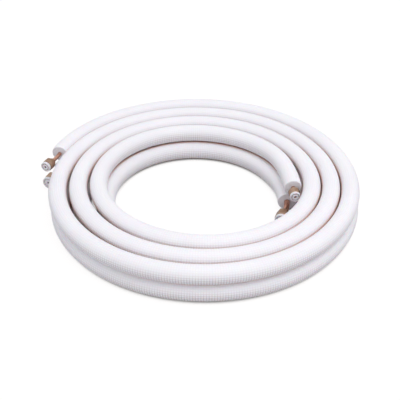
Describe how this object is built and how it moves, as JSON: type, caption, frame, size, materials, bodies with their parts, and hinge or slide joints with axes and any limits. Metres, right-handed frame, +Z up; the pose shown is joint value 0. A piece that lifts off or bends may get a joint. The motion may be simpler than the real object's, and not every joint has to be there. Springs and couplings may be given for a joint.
{
  "type": "mini split line set",
  "caption": "Pair of foam-insulated copper pipes wound into two stacked flat spirals, with brass flare nuts and white sealing caps on the pipe ends.",
  "frame": {"origin": "middle of the whole set's outline at floor level", "axes": "+Z up out of the coil's flat side; +Y is away from the viewer of the picture, across the coil; +X is to the viewer's right, towards the side where the inner pipe ends are"},
  "size_m": [0.5436, 0.5414, 0.0633],
  "materials": {
    "foam": "soft white polyethylene foam with a square waffle-embossed skin",
    "copper": "bright drawn copper, slightly dulled",
    "brass": "forged brass with machined faces",
    "cap_plastic": "white moulded polyethylene"
  },
  "bodies": {
    "coil": {"liquid_pipe": "copper", "liquid_insulation": "foam", "gas_pipe": "copper", "gas_insulation": "foam"},
    "liquid_outer_fitting": {"liquid_nut_outer": "brass", "liquid_cap_outer": "cap_plastic"},
    "liquid_inner_fitting": {"liquid_nut_inner": "brass", "liquid_cap_inner": "cap_plastic"},
    "gas_outer_fitting": {"gas_nut_outer": "brass", "gas_cap_outer": "cap_plastic"},
    "gas_inner_fitting": {"gas_nut_inner": "brass", "gas_cap_inner": "cap_plastic"}
  },
  "joints": [
    {"name": "liquid_nut_outer_swivel", "type": "hinge", "parent": "coil", "child": "liquid_outer_fitting", "pos_m": [-0.25385, 0.04844, 0.0483], "axis": [-0.4227, -0.9063, 0], "continuous": true},
    {"name": "liquid_nut_inner_swivel", "type": "hinge", "parent": "coil", "child": "liquid_inner_fitting", "pos_m": [0.15776, -0.04099, 0.0483], "axis": [0.0349, -0.9994, 0], "continuous": true},
    {"name": "gas_nut_outer_swivel", "type": "hinge", "parent": "coil", "child": "gas_outer_fitting", "pos_m": [-0.25222, 0.04959, 0.0165], "axis": [-0.3584, -0.9336, 0], "continuous": true},
    {"name": "gas_nut_inner_swivel", "type": "hinge", "parent": "coil", "child": "gas_inner_fitting", "pos_m": [0.14389, -0.06015, 0.0165], "axis": [-0.3255, -0.9455, 0], "continuous": true}
  ]
}
